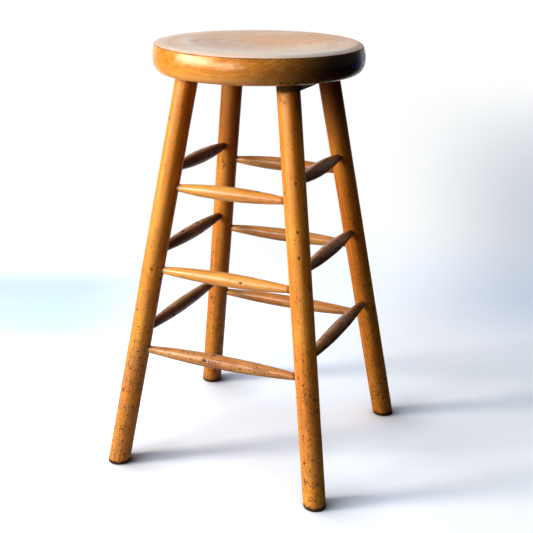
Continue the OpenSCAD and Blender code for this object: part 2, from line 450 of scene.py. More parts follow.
def seat_section():
    """Half section of the seat as (radius, height), and how many of its points lie on the top face."""
    rim_h = edge_z - rim_belly_z
    rim_turn = 2 * math.atan(edge_inset / rim_h)
    rim_round = rim_h / math.sin(rim_turn)
    # The dish, the flat round it, and the top's roll-over towards its edge.
    points = [
        (dish_r * u, stool_h - dish_depth * math.cos(math.pi / 2 * u) ** dish_blend) for u in steps(52)
    ]
    points += [(dish_r + (edge_r - roll_w - dish_r) * u, stool_h) for u in steps(12)]
    points += [(edge_r - roll_w * (1 - u), stool_h - edge_drop * u * u) for u in steps(12)]
    on_top = len(points)
    # The crisp edge, the rim down to its belly, and the round that runs in under the seat.
    for u in steps(6)[1:]:
        a = math.pi / 2 * u
        points.append((edge_r - arris_r * (1 - math.sin(a)), edge_z - arris_r * (1 - math.cos(a))))
    for u in steps(26):
        a = (rim_turn - arris_r / rim_round) * (1 - u)
        points.append((seat_r - rim_round * (1 - math.cos(a)), rim_belly_z + rim_round * math.sin(a)))
    for u in steps(18):
        a = math.pi / 2 * u
        points.append((seat_r - lower_round_w * (1 - math.cos(a)), rim_belly_z - belly_h * math.sin(a)))
    points += [((seat_r - lower_round_w) * (1 - u), under_z) for u in steps(60)]
    points.append((0, under_z))
    return points, on_top


def wear(point):
    """How far the slid-over edge of the seat has worn down at a point: most near its low side."""
    reach = math.hypot(point.x, point.y)
    roll_from = edge_r - roll_w
    if reach < roll_from or point.z < rim_belly_z:
        return 0.0
    sideways = math.atan2(point.y, point.x) - wear_low_side
    depth = wear_even + wear_swing * math.cos(sideways)
    across = min(1.0, (reach - roll_from) / roll_w)
    upright = min(1.0, (point.z - rim_belly_z) / (edge_z - rim_belly_z))
    return depth * across * across * upright


def lathe_seat():
    """The section turned round, gently uneven and worn. It keeps its grain and the way past its edge."""
    section, on_top = seat_section()
    rings = len(section) - 2
    points = [(0, 0, section[0][1])]
    for r, z in section[1:-1]:
        for j in range(seat_turns):
            a = math.tau * j / seat_turns
            points.append((r * math.cos(a), r * math.sin(a), z))
    points.append((0, 0, section[-1][1]))
    walked = [0.0]
    for (r0, z0), (r1, z1) in zip(section, section[1:]):
        walked.append(walked[-1] + math.hypot(r1 - r0, z1 - z0))
    edge_walk = walked[on_top + 2]
    last = len(points) - 1
    faces = []
    for j in range(seat_turns):
        k = (j + 1) % seat_turns
        faces.append((0, 1 + j, 1 + k))
        for i in range(rings - 1):
            a, b = 1 + i * seat_turns, 1 + (i + 1) * seat_turns
            faces.append((a + j, b + j, b + k, a + k))
        a = 1 + (rings - 1) * seat_turns
        faces.append((a + j, last, a + k))
    mesh = bpy.data.meshes.new("seat_top")
    mesh.from_pydata(points, [], faces)
    past_edge = mesh.attributes.new("past_edge", "FLOAT", "POINT")
    for index, vertex in enumerate(mesh.vertices):
        ring = 0 if index == 0 else rings + 1 if index == last else 1 + (index - 1) // seat_turns
        past_edge.data[index].value = walked[ring] - edge_walk
        p = vertex.co
        if p.z < under_z + 0.0005:
            continue
        swell = noise.noise(p * swell_coarse) + 0.5 * noise.noise(p * swell_fine)
        r = math.hypot(p.x, p.y)
        inner = min(1.0, max(0.0, (seat_r - r) / swell_grow_w))
        sink = seat_swell * (0.6 + 0.4 * inner) * (swell - 1.2)
        flat = Vector((p.x, p.y, 0)).normalized() if r > 0 else Vector((0, 0, 0))
        worn = wear(p)
        if ring > on_top:
            vertex.co = p + flat * sink - Vector((0, 0, worn))
        else:
            vertex.co.z = p.z + sink * 0.8 - worn
    grain = mesh.attributes.new("grain", "FLOAT_VECTOR", "POINT")
    for vertex, coords in zip(mesh.vertices, grain.data):
        coords.vector = (vertex.co.y, vertex.co.z - stool_h, vertex.co.x)
    mesh.shade_smooth()
    return mesh


def seat_finish(tree, place, colour, darkening, gloss):
    """Worn top with painted glare, turning lines; chipped rim, painted bounce light and shade, ink smear,
    dirty edge.
    """
    past = wire(tree, "ShaderNodeAttribute", out=2, attribute_name="past_edge")
    flat = vectors(tree, "MULTIPLY", place, (1, 1, 0))
    reach = vectors(tree, "LENGTH", flat)
    outward = vectors(tree, "NORMALIZE", flat)
    on_top = ramp(tree, past, -0.0005, -0.0025)
    on_rim = ramp(tree, past, 0.0005, 0.0015)

    lathe_place = joined(tree, times(tree, reach, 120.0))
    lathe_place = vectors(tree, "ADD", lathe_place, vectors(tree, "MULTIPLY", place, (5, 9, 0)))
    turning = mottle(tree, lathe_place, 1.0)
    patch = mottle(tree, place, 9.0)
    bloom = plus(tree, times(tree, patch, 0.35), times(tree, turning, 0.50), 0.075)
    calm = vectors(tree, "LENGTH", oval_place(tree, flat, calm_at, calm_size, calm_turn))
    bloom = minus(tree, bloom, times(tree, ramp(tree, calm, 1.3, 0.5), 0.22))
    # Painted highlight arcs on the dish: which way each lies, how much of a turn, how far out, how wide, how
    # strong.
    pale = 0.0
    for angle, width, middle, wide, gain in (
        (-2.15, 0.75, 0.124, 0.011, 1.0),
        (-1.10, 0.85, 0.156, 0.024, 0.85),
        (2.6, 0.9, 0.160, 0.012, 0.5),
    ):
        side = vectors(tree, "DOT_PRODUCT", outward, (math.cos(angle), math.sin(angle), 0))
        band = ramp(tree, sums(tree, "ABSOLUTE", minus(tree, reach, middle)), wide, wide * 0.2)
        band = times(tree, band, ramp(tree, side, math.cos(width * 1.7), math.cos(width * 0.4)))
        pale = largest(tree, pale, times(tree, band, gain))
    # Painted glare: the worn top is made paler than its wear alone, for the glare on it.
    worn = ramp(tree, bloom, 0.30, 0.62, 0.55, 1.0)
    colour = blend_colours(tree, times(tree, on_top, worn), colour, seat_worn_and_glare)
    # Painted glare: the top paler still on its side towards the camera.
    forward = vectors(tree, "DOT_PRODUCT", flat, glare_side)
    pale = largest(tree, pale, ramp(tree, forward, -0.03, 0.17, 0.0, 0.6))
    pale = times(tree, pale, ramp(tree, turning, 0.35, 0.60, 0.35, 1.0))
    bare = largest(tree, ramp(tree, bloom, 0.54, 0.74, 0.0, 0.6), pale)
    colour = blend_colours(tree, times(tree, on_top, bare), colour, seat_bare_and_glare)

    thin_place = joined(tree, times(tree, reach, 300.0))
    thin_place = vectors(tree, "ADD", thin_place, vectors(tree, "MULTIPLY", place, (11, 17, 0)))
    thin = mottle(tree, thin_place, 1.0)
    thin = times(tree, ramp(tree, thin, 0.52, 0.68), ramp(tree, patch, 0.60, 0.42, 0.10, 0.42))
    colour = blend_colours(tree, times(tree, on_top, thin), colour, seat_dirt)

    flecks = mottle(tree, place, 430.0, 3.0, 0.7)
    rubbed = mottle(tree, vectors(tree, "MULTIPLY", place, (1, 1, 1.6)), 75.0, 4.0, 0.65)
    chips = times(tree, ramp(tree, flecks, 0.60, 0.66), ramp(tree, rubbed, 0.48, 0.62))
    colour = blend_colours(tree, times(tree, chips, on_rim, 0.55), colour, seat_bare_and_glare)
    gloss = plus(tree, gloss, times(tree, ramp(tree, rubbed, 0.45, 0.62), 0.18))
    gloss = plus(tree, gloss, times(tree, on_top, 0.24))

    # Painted light: the lower rim made lighter, as if lit from the floor below.
    painted_bounce_rim = times(tree, ramp(tree, past, 0.016, 0.040), ramp(tree, reach, 0.150, 0.162))
    colour = blend_colours(tree, times(tree, painted_bounce_rim, 0.40), colour, painted_bounce_honey)
    # End grain on the shaded side painted nearly black: darker end grain with painted shade.
    endwise = vectors(tree, "DOT_PRODUCT", outward, shaded_end_side)
    end_shade = times(
        tree, ramp(tree, endwise, 0.30, 0.86), ramp(tree, past, -0.0014, -0.0002),
        ramp(tree, past, 0.020, 0.042, 1.0, 0.80), ramp(tree, reach, 0.156, 0.166),
    )
    colour = blend_colours(tree, end_shade, colour, end_grain_and_shade)
    smear = vectors(tree, "LENGTH", oval_place(tree, place, smear_at, smear_size, smear_lean))
    frayed = times(tree, minus(tree, rubbed, 0.5), 1.2)
    smear = ramp(tree, plus(tree, smear, frayed), 1.2, 0.6)
    colour = blend_colours(tree, smear, colour, ink)

    broken = mottle(tree, place, 60.0, 4.0)
    line = ramp(tree, sums(tree, "ABSOLUTE", minus(tree, past, 0.0003)), 0.0014, 0.0004)
    line = times(tree, line, ramp(tree, broken, 0.38, 0.56, 0.25, 1.0))
    darkening = largest(tree, darkening, times(tree, line, 0.85))
    return colour, darkening, gloss


# Each mark's place (y, height over the top, x), its size and its lean.
seat_marks = (
    ((-0.140, -0.0427, 0.100), (0.0045, 0.0030, 0.0024), (0, 0, 0)),
    ((-0.134, -0.0428, 0.108), (0.004, 0.0014, 0.006), (0, 0.7, 0)),
    ((-0.124, -0.0425, 0.119), (0.004, 0.0018, 0.0038), (0, 0, 0)),
    ((-0.116, -0.0424, 0.127), (0.004, 0.0014, 0.005), (0, 0.8, 0)),
    ((-0.105, -0.0430, 0.135), (0.004, 0.0015, 0.0024), (0, 0, 0)),
    ((-0.041, -0.005, 0.171), (0.003, 0.002, 0.003), (0, 0, 0)),
    ((-0.174, -0.0380, 0.028), (0.002, 0.0011, 0.0014), (0, 0, 0)),
    ((-0.157, -0.0281, 0.082), (0.002, 0.0012, 0.0006), (0.3, 0, 0)),
    ((-0.022, -0.007, -0.009), (0.0022, 0.004, 0.0009), (0, 0, 0)),
    ((0.035, -0.007, -0.046), (0.0016, 0.004, 0.0012), (0, 0, 0)),
    ((-0.046, -0.006, 0.001), (0.0014, 0.004, 0.0012), (0, 0, 0)),
    ((-0.072, -0.005, 0.031), (0.0012, 0.004, 0.0012), (0, 0, 0)),
)
seat_wood = aged_wood(
    "seat_wood", honey, honey_pale, honey_deep, marks=seat_marks, pits=0.3,
    ring_centre=(0.083, 0.105, 0.0), ring_gap=0.0055, ring_show=0.9, finish=seat_finish,
    dullness=0.22, sheen_tint=(1.0, 0.88, 0.62, 1), depth=0.0002,
)
seat_mesh = lathe_seat()
seat_mesh.materials.append(seat_wood)
seat = bpy.data.objects.new("seat_top", seat_mesh)
scene.collection.objects.link(seat)
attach(seat, "root")
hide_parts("seat")


# ---- The legs ----
# Four round legs turned from straight stock, raked outwards on the diagonal
# and driven into the seat. Their soles are sawn level with the floor.

leg_r = 0.01925
leg_let_in = 0.027
leg_top = under_z + leg_let_in
foot_at = 0.1875
seat_at = 0.08825
leg_slope = (foot_at - seat_at) / under_z
foot_ease_w = 0.003
foot_ease_h = 0.004
leg_turns = 72
leg_rings = 250
leg_sway = 0.0009
leg_slack = 0.0003
sole_black_h = 0.0085
sole_black_full = 0.0048


def leg_centre(height):
    """How far out the centre of a leg is at this height, sideways and forwards alike."""
    return foot_at - leg_slope * height


def node_tree(name, sizes):
    """A Geometry Nodes tree with one named number input for each size, and one for what it is made of."""
    tree = bpy.data.node_groups.new(name, "GeometryNodeTree")
    tree.is_modifier = True
    tree.interface.new_socket("Mesh", in_out="OUTPUT", socket_type="NodeSocketGeometry")
    for size in sizes:
        tree.interface.new_socket(size, in_out="INPUT", socket_type="NodeSocketFloat")
    tree.interface.new_socket("Made of", in_out="INPUT", socket_type="NodeSocketMaterial")
    return tree, tree.nodes.new("NodeGroupInput").outputs


def make_piece(name, tree, sizes, material):
    """Runs a tree with these sizes and keeps the result as a plain mesh object."""
    piece = bpy.data.objects.new(name, bpy.data.meshes.new(name))
    scene.collection.objects.link(piece)
    turning = piece.modifiers.new("turning", "NODES")
    turning.node_group = tree
    for item in tree.interface.items_tree:
        if item.in_out == "INPUT":
            turning[item.identifier] = material if item.name == "Made of" else float(sizes[item.name])
    bpy.context.view_layer.update()
    ready = piece.evaluated_get(bpy.context.evaluated_depsgraph_get())
    mesh = bpy.data.meshes.new_from_object(ready)
    piece.modifiers.remove(turning)
    piece.data = mesh
    mesh.name = name
    return piece


def grain_place(tree, x, y, z, seed):
    """Grain coordinates, moved by a seed so that no two pieces have the same figure."""
    return vectors(tree, "ADD", joined(tree, x, y, z), joined(tree, seed, seed, seed))


def close_tree(tree, shape, made_of):
    """The last steps of every tree: one real mesh, and what it is made of."""
    whole = wire(tree, "GeometryNodeRealizeInstances", {0: shape})
    painted = wire(tree, "GeometryNodeSetMaterial", {"Geometry": whole, "Material": made_of})
    tree.links.new(painted, tree.nodes.new("NodeGroupOutput").inputs[0])
    return tree


def turned_wood(tree, tube, grain, place, wood):
    """Keeps the grain on a tube, and puts its points where the turned piece has them."""
    kept = wire(
        tree, "GeometryNodeStoreNamedAttribute",
        {"Geometry": tube, "Name": "grain", "Value": grain},
        data_type="FLOAT_VECTOR",
    )
    shaped = wire(tree, "GeometryNodeSetPosition", {"Geometry": kept, "Position": place})
    smooth = wire(tree, "GeometryNodeSetShadeSmooth", {0: shaped})
    return close_tree(tree, smooth, wood)


def leg_tree():
    """A straight round leg, raked both ways: its level slices are ovals, long on the diagonal."""
    names = ("Foot X", "Foot Y", "Slope", "Height", "Radius", "Ease width", "Ease height", "Seed")
    tree, sizes = node_tree("raked_leg", names)
    tube = wire(tree, "GeometryNodeMeshCylinder", {
        "Vertices": leg_turns, "Side Segments": leg_rings, "Radius": 1, "Depth": 1,
    })
    spot = split(tree, wire(tree, "GeometryNodeInputPosition"))
    # Its rings stand closer together towards the foot.
    up = sums(tree, "POWER", sums(tree, "ADD", spot[2], 0.5, clamp=True), 1.5)
    height = times(tree, up, sizes["Height"])
    side_x = sums(tree, "SIGN", sizes["Foot X"])
    side_y = sums(tree, "SIGN", sizes["Foot Y"])
    inward = times(tree, height, sizes["Slope"])
    centre_x = minus(tree, sizes["Foot X"], times(tree, side_x, inward))
    centre_y = minus(tree, sizes["Foot Y"], times(tree, side_y, inward))

    true_x = times(tree, spot[0], sizes["Radius"])
    true_y = times(tree, spot[1], sizes["Radius"])
    grain = grain_place(tree, true_x, true_y, height, sizes["Seed"])
    sway = mottle(tree, vectors(tree, "MULTIPLY", grain, (1, 1, 0.35)), 34.0)
    sway = times(tree, minus(tree, sway, 0.5), leg_sway)
    # The eased edge of the sole is a quarter of an oval.
    low = minus(tree, 1.0, sums(tree, "DIVIDE", height, sizes["Ease height"]), clamp=True)
    ease = minus(tree, 1.0, sums(tree, "SQRT", minus(tree, 1.0, times(tree, low, low))))
    ease = times(tree, ease, sizes["Ease width"])
    radius = minus(tree, plus(tree, sizes["Radius"], sway), ease)
    radius = minus(tree, radius, leg_slack)

    lean = times(tree, 2.0, sums(tree, "POWER", sizes["Slope"], 2.0))
    stretch = sums(tree, "SQRT", plus(tree, 1.0, lean))
    long_x = times(tree, spot[0], stretch, radius)
    short_y = times(tree, spot[1], radius)
    toward_x = times(tree, side_x, math.sqrt(0.5))
    toward_y = times(tree, side_y, math.sqrt(0.5))
    out_x = minus(tree, times(tree, long_x, toward_x), times(tree, short_y, toward_y))
    out_y = plus(tree, times(tree, long_x, toward_y), times(tree, short_y, toward_x))
    at = joined(tree, plus(tree, centre_x, out_x), plus(tree, centre_y, out_y), height)
    return turned_wood(tree, tube, grain, at, sizes["Made of"])


def leg_finish(seat_shadow_drop, seat_shadow_show, shade_low, shade, grimy, grime_top=0.46):
    """Each leg: black sole of dirt and painted shade, grime low down, scuffs, and painted seat shade and
    shadow up top.
    """
    def finish(tree, place, colour, darkening, gloss):
        height = split(tree, place)[2]
        ragged = mottle(tree, place, 170.0, 4.0, 0.65)
        # The sole's edge painted black: dirt, and painted shade under the foot.
        shifted = plus(tree, height, times(tree, minus(tree, ragged, 0.5), 0.012))
        sole = ramp(tree, shifted, sole_black_h, sole_black_full)
        sole = times(tree, sole, ramp(tree, height, 0.0001, 0.0008, 0.45, 1.0))
        # Painted shadow of the seat: a dark band high up on the leg.
        seat_shadow_z = under_z - seat_shadow_drop
        seat_shadow = ramp(tree, shifted, seat_shadow_z - 0.002, seat_shadow_z + 0.003, 0.0, seat_shadow_show)
        grime = mottle(tree, place, 26.0, 5.0, 0.68)
        low = ramp(tree, height, grime_top, 0.03)
        grime = times(tree, low, ramp(tree, grime, 0.36, 0.66, 0.02 * grimy, 0.42 * grimy))
        colour = blend_colours(tree, grime, colour, leg_grime)
        # Painted shade: the leg darker towards the seat, where shade falls on it.
        seat_shade = ramp(tree, height, shade_low, under_z - 0.03, 0.0, shade)
        colour = blend_colours(tree, seat_shade, colour, leg_shade)
        colour = blend_colours(tree, sole, colour, sole_dirt_and_shade)
        scuffs = mottle(tree, vectors(tree, "MULTIPLY", place, (1, 1, 0.7)), 380.0, 3.0, 0.75)
        knocks = mottle(tree, place, 60.0, 3.0, 0.6)
        least = times(tree, minus(tree, knocks, 0.5), 0.25)
        least = minus(tree, ramp(tree, height, 0.05, 0.50, 0.540, 0.615, smooth=False), least)
        scuffs = ramp(tree, minus(tree, scuffs, least), 0.0, 0.045)
        darkening = largest(tree, darkening, times(tree, scuffs, 0.80))
        darkening = largest(tree, darkening, sole, seat_shadow)
        gloss = plus(tree, gloss, times(tree, low, 0.10))
        return colour, darkening, gloss
    return finish


leg_shade = (0.15, 0.026, 0.002, 1)
sole_dirt_and_shade = (0.002, 0.0015, 0.001, 1)
leg_grime = (0.37, 0.145, 0.052, 1)
# Each mark's place from the leg's centre line and the floor, its size and its lean.
leg_marks = {
    "front_left": (
        ((0.0147, 0.0124, 0.2325), (0.0020, 0.0008, 0.0040), (0.3, 0, 0)),
        ((0.0077, 0.0177, 0.2135), (0.0016, 0.0015, 0.0016), (0, 0, 0)),
        ((-0.0045, 0.0187, 0.2120), (0.0014, 0.0015, 0.0012), (0, 0, 0)),
        ((0.0009, 0.0192, 0.2020), (0.0022, 0.0015, 0.0014), (0, 0, 0)),
        ((0.0136, 0.0136, 0.1825), (0.0018, 0.0018, 0.0020), (0, 0, 0)),
        ((0.0091, 0.0169, 0.1397), (0.0015, 0.0015, 0.0018), (0, 0, 0)),
        ((0.0070, 0.0179, 0.0460), (0.0009, 0.0014, 0.0042), (0, 0.3, 0)),
        ((0.0090, 0.0170, 0.0400), (0.0009, 0.0014, 0.0020), (0, -0.5, 0)),
    ),
    "front_right": (
        ((0.0149, -0.0122, 0.2104), (0.0016, 0.0016, 0.0016), (0, 0, 0)),
        ((0.0173, 0.0085, 0.1656), (0.0015, 0.0017, 0.0020), (0, 0, 0)),
        ((0.0106, -0.0161, 0.1254), (0.0016, 0.0014, 0.0016), (0, 0, 0)),
        ((0.0138, 0.0135, 0.1351), (0.0016, 0.0016, 0.0018), (0, 0, 0)),
        ((0.0080, -0.0175, 0.0495), (0.0012, 0.0009, 0.0055), (0, 0, 0)),
        ((0.0192, -0.0003, 0.0470), (0.0012, 0.0016, 0.0022), (0, 0, 0)),
        ((0.0163, 0.0103, 0.0366), (0.0012, 0.0007, 0.0060), (0.12, 0, 0)),
        ((0.0155, 0.0115, 0.0240), (0.0014, 0.0010, 0.0080), (0.16, 0, 0)),
        ((0.0148, 0.0123, 0.0110), (0.0018, 0.0022, 0.0070), (0.2, 0, 0)),
        ((0.0192, 0.0008, 0.6142), (0.0014, 0.0012, 0.0014), (0, 0, 0)),
        ((0.0043, -0.0187, 0.5137), (0.0016, 0.0014, 0.0016), (0, 0, 0)),
    ),
    "back_right": (
        ((-0.0036, -0.0189, 0.4040), (0.0014, 0.0014, 0.0016), (0, 0, 0)),
    ),
    "back_left": (
        ((-0.0135, 0.0137, 0.4960), (0.0010, 0.0010, 0.0040), (0, 0, 0)),
        ((-0.0154, 0.0115, 0.4850), (0.0010, 0.0010, 0.0055), (0.2, 0, 0)),
    ),
}
leg_looks = {
    "front_left": leg_finish(0.012, 0.35, shade_low=0.62, shade=0.0, grimy=1.5, grime_top=0.60),
    "front_right": leg_finish(0.015, 1.0, shade_low=0.62, shade=0.0, grimy=0.7),
    "back_right": leg_finish(0.012, 0.8, shade_low=0.44, shade=0.80, grimy=0.75),
    "back_left": leg_finish(0.012, 0.35, shade_low=0.38, shade=0.66, grimy=0.2),
}
honeys = (honey, honey_pale, honey_deep)
raked_leg = leg_tree()
# Each leg's colours are scaled lighter or darker: painted light and shade for how the light falls on it.
for name, side_x, side_y, seed, light_and_shade_tone, sheen in (
    ("front_left", -1, -1, 3.0, (0.95, 0.88, 0.70), 0.55),
    ("front_right", 1, -1, 7.0, (1.05, 0.94, 0.70), 0.72),
    ("back_right", 1, 1, 12.0, (0.92, 0.78, 0.60), 0.30),
    ("back_left", -1, 1, 19.0, (0.90, 0.81, 0.66), 0.75),
):
    marks = [(tuple(seed + p for p in spot), size, lean) for spot, size, lean in leg_marks[name]]
    shades = [tuple(t * part for t, part in zip(light_and_shade_tone, shade)) + (1,) for shade in honeys]
    leg_wood = aged_wood(
        "leg_wood_" + name, *shades, marks=marks, finish=leg_looks[name],
        ring_centre=(-seed, -seed + 0.03, -seed), hair_show=0.75, hair_size=(520, 34),
        dullness=0.45, sheen=sheen, sheen_tint=(1.0, 0.76, 0.36, 1),
    )
    leg = make_piece("turned_leg_" + name, raked_leg, {
        "Foot X": side_x * foot_at, "Foot Y": side_y * foot_at, "Slope": leg_slope,
        "Height": leg_top, "Radius": leg_r, "Ease width": foot_ease_w,
        "Ease height": foot_ease_h, "Seed": seed,
    }, leg_wood)
    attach(leg, "root")
    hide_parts("leg_" + name)


# ---- The rungs ----
# Twelve rungs turned fat in the middle and slim at the ends, glued into blind
# holes in the legs. The side ones sit higher, so that no two holes meet.

rung_tip_r = 0.0065
rung_mid_r = 0.0121
rung_neck = 0.004
rung_let_in = 0.016
rung_turns = 40
rung_rings = 150
rung_sway = 0.0010
low_rung_z = 0.2132
tier_step = 0.1416
side_lift = 0.0282
joint_dirt_from = foot_at - leg_r - 0.0035
joint_dirt_full = foot_at - leg_r + 0.0015
painted_top_light_from = 0.0070
painted_top_light_full = 0.0115
belly_fade = 0.009


def rung_tree():
    """A turned rung between two raked legs: bare and bellied between them, slim where it goes in."""
    names = (
        "Half span", "Side", "Height", "Turned", "Tip radius", "Middle radius",
        "Leg radius", "Neck", "Let in", "Seed",
    )
    tree, sizes = node_tree("turned_rung", names)
    tube = wire(tree, "GeometryNodeMeshCylinder", {
        "Vertices": rung_turns, "Side Segments": rung_rings, "Radius": 1, "Depth": 2,
    })
    spot = split(tree, wire(tree, "GeometryNodeInputPosition"))
    bare = minus(tree, sizes["Half span"], sizes["Leg radius"])
    half_l = plus(tree, bare, sizes["Let in"])
    half_belly = minus(tree, bare, sizes["Neck"])
    along = times(tree, spot[2], half_l)
    part = sums(tree, "DIVIDE", along, half_belly)
    belly = minus(tree, 1.0, times(tree, part, part), clamp=True)
    swell = minus(tree, sizes["Middle radius"], sizes["Tip radius"])
    radius = plus(tree, sizes["Tip radius"], times(tree, swell, belly))
    true_x = times(tree, spot[0], radius)
    true_y = times(tree, spot[1], radius)
    grain = grain_place(tree, true_x, true_y, along, sizes["Seed"])
    sway = mottle(tree, vectors(tree, "MULTIPLY", grain, (1, 1, 0.5)), 45.0)
    radius = plus(tree, radius, times(tree, minus(tree, sway, 0.62), rung_sway))
    deep = times(tree, spot[0], radius)
    tall = plus(tree, sizes["Height"], times(tree, spot[1], radius))
    across = joined(tree, along, plus(tree, sizes["Side"], deep), tall)
    lengthwise = joined(tree, minus(tree, sizes["Side"], deep), along, tall)
    ways = {0: sizes["Turned"], 4: across, 5: lengthwise}
    at = wire(tree, "ShaderNodeMix", ways, out=1, data_type="VECTOR")
    return turned_wood(tree, tube, grain, at, sizes["Made of"])


def rung_finish(least_scuff, show, painted_top_light=None, belly=None, belly_z=0.0, belly_show=0.0):
    """Scuffs on a rung, dirt in the joints at its ends, and on side rungs painted light on top and a
    recoloured underside.
    """
    def finish(tree, place, colour, darkening, gloss):
        scuffs = mottle(tree, place, 420.0, 3.0, 0.75)
        knocks = mottle(tree, place, 40.0, 3.0, 0.6)
        least = minus(tree, least_scuff, times(tree, minus(tree, knocks, 0.5), 0.3))
        scuffs = ramp(tree, minus(tree, scuffs, least), 0.0, 0.05, 0.0, show)
        x, y, height = split(tree, place)
        along = sums(tree, "MINIMUM", sums(tree, "ABSOLUTE", x), sums(tree, "ABSOLUTE", y))
        along = plus(tree, along, times(tree, height, leg_slope))
        along = plus(tree, along, times(tree, knocks, 0.004))
        joint = ramp(tree, along, joint_dirt_from, joint_dirt_full, 0.0, 0.9)
        if painted_top_light:
            # How far over or under the centre line of its own side rung a place is, in any tier.
            level = plus(tree, height, tier_step / 2 - low_rung_z - side_lift)
            level = minus(tree, sums(tree, "MODULO", level, tier_step), tier_step / 2)
            # Painted light along the top of a side rung; its underside recoloured, darker on the left rungs
            # and lighter on the right.
            on_top = ramp(tree, level, painted_top_light_from, painted_top_light_full, 0.0, 0.55)
            below = ramp(tree, level, belly_z + belly_fade, belly_z, 0.0, belly_show)
            colour = blend_colours(tree, on_top, colour, painted_top_light)
            colour = blend_colours(tree, below, colour, belly)
        return colour, largest(tree, darkening, scuffs, joint), gloss
    return finish


# Each side's rungs have their own colours, lighter where the window light falls and darker in the shade:
# painted light and shade.
front_wood = aged_wood(
    "front_rung_wood", (0.88, 0.37, 0.05, 1), (0.94, 0.46, 0.08, 1), (0.70, 0.23, 0.022, 1),
    pits=0.9, finish=rung_finish(0.60, 0.6), sheen=0.6, hair_show=0.7, hair_size=(620, 36),
)
back_wood = aged_wood(
    "back_rung_wood", (0.66, 0.265, 0.045, 1), (0.75, 0.35, 0.07, 1), (0.45, 0.13, 0.014, 1),
    pits=0.8, finish=rung_finish(0.60, 0.6),
)
foot_wood = aged_wood(
    "foot_rung_wood", (0.70, 0.27, 0.050, 1), (0.80, 0.37, 0.09, 1), (0.36, 0.09, 0.014, 1),
    pits=1.5, finish=rung_finish(0.545, 0.8), dullness=0.34,
)
left_wood = aged_wood(
    "left_rung_wood", (0.30, 0.085, 0.012, 1), (0.60, 0.22, 0.045, 1), (0.05, 0.011, 0.002, 1),
    pits=1.4, dullness=0.33, sheen=0.32, sheen_tint=(1.0, 0.74, 0.48, 1),
    finish=rung_finish(
        0.535, 0.85, painted_top_light=(0.80, 0.38, 0.13, 1),
        belly=(0.07, 0.010, 0.001, 1), belly_z=-0.006, belly_show=0.65,
    ),
)
# The right rungs' underside is painted lighter: painted light from the right.
right_wood = aged_wood(
    "right_rung_wood", (0.42, 0.145, 0.044, 1), (0.70, 0.31, 0.115, 1), (0.10, 0.026, 0.007, 1),
    pits=1.4, dullness=0.33, sheen=0.35, sheen_tint=(1.0, 0.74, 0.48, 1),
    finish=rung_finish(
        0.545, 0.85, painted_top_light=(0.62, 0.26, 0.09, 1),
        belly=(0.95, 0.58, 0.38, 1), belly_z=-0.010, belly_show=0.9,
    ),
)
rung_woods = {"front": front_wood, "back": back_wood, "left": left_wood, "right": right_wood}
turned_rung = rung_tree()
rung_rows = (("front", -1, 0), ("back", 1, 0), ("left", -1, side_lift), ("right", 1, side_lift))
for row, (where, side, lift) in enumerate(rung_rows):
    for tier, level in enumerate(("low", "middle", "high")):
        z = low_rung_z + tier * tier_step + lift
        span = leg_centre(z)
        name = where + "_" + level
        rung = make_piece("turned_rung_" + name, turned_rung, {
            "Half span": span, "Side": side * span, "Height": z, "Turned": 1.0 if lift else 0.0,
            "Tip radius": rung_tip_r, "Middle radius": rung_mid_r, "Leg radius": leg_r,
            "Neck": rung_neck, "Let in": rung_let_in, "Seed": 2.0 + row * 3 + tier,
        }, foot_wood if name == "front_low" else rung_woods[where])
        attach(rung, "root")
        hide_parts("rung_" + name)


# ---- The cleats ----
# Two planed battens screwed up under the seat across its grain, coped to the
# legs. Thinly varnished, with painted shade along their eased lower edges.

cleat_base = (0.36, 0.17, 0.055, 1)
cleat_pale = (0.46, 0.25, 0.10, 1)
cleat_deep = (0.18, 0.075, 0.022, 1)
cleat_t = 0.0137
cleat_under_z = under_z - cleat_t
cleat_shade_h = 0.0022
cleat_shade_full = 0.0006


def cleat_finish(tree, place, colour, darkening, gloss):
    """Painted shade along the eased lower edges."""
    height = split(tree, place)[2]
    shaded_lower_edge = ramp(tree, height, cleat_under_z + cleat_shade_h, cleat_under_z + cleat_shade_full)
    darkening = largest(tree, darkening, times(tree, shaded_lower_edge, 0.55))
    return colour, darkening, gloss


cleat_wood = aged_wood(
    "cleat_wood", cleat_base, cleat_pale, cleat_deep, pits=0.5, finish=cleat_finish,
    dullness=0.55, own_grain=False,
)
for name in ("cleat_left", "cleat_right"):
    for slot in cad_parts[name].material_slots:
        slot.material = cleat_wood


# ---- The cleat screws ----
# Four slotted countersunk wood screws, two up through each cleat into the seat.
# Steel, turned, slotted and threaded, gone dull and brown.

screw_head_r = 0.0042
screw_head_h = 0.0026
screw_shank_r = 0.0021
screw_core_r = 0.0015
screw_l = 0.038
screw_point = 0.006
screw_plain = 0.014
screw_pitch = 0.0017
slot_w = 0.0012
slot_depth = 0.0011
screw_turns = 40
screw_rings = 60
screw_count = 4
thread_steps = 24
thread_sides = 6
slot_turn = 1.13
cleat_screw_y = 0.045


def dull_steel():
    """Turned steel, brown and rough with rust in patches."""
    steel, tree = bare_material("dull_steel")
    place = wire(tree, "ShaderNodeTexCoord", out=3)
    rust = mottle(tree, place, 900.0, 5.0, 0.65)
    turned = mottle(tree, vectors(tree, "MULTIPLY", place, (1, 1, 9)), 700.0)
    rusted = ramp(tree, rust, 0.46, 0.60)
    colour = blend_colours(tree, rusted, (0.34, 0.31, 0.28, 1), (0.13, 0.055, 0.025, 1))
    metal = ramp(tree, rust, 0.60, 0.46)
    gloss = plus(tree, ramp(tree, turned, 0.3, 0.7, 0.32, 0.46), times(tree, rusted, 0.3))
    relief = plus(tree, times(tree, rusted, 0.5), times(tree, turned, 0.2))
    bump = wire(tree, "ShaderNodeBump", {"Height": relief, "Strength": 0.5, "Distance": 0.0001})
    shell = wire(tree, "ShaderNodeBsdfPrincipled", {
        "Base Color": colour, "Metallic": metal, "Roughness": gloss, "Normal": bump,
    })
    wire(tree, "ShaderNodeOutputMaterial", {"Surface": shell})
    return steel


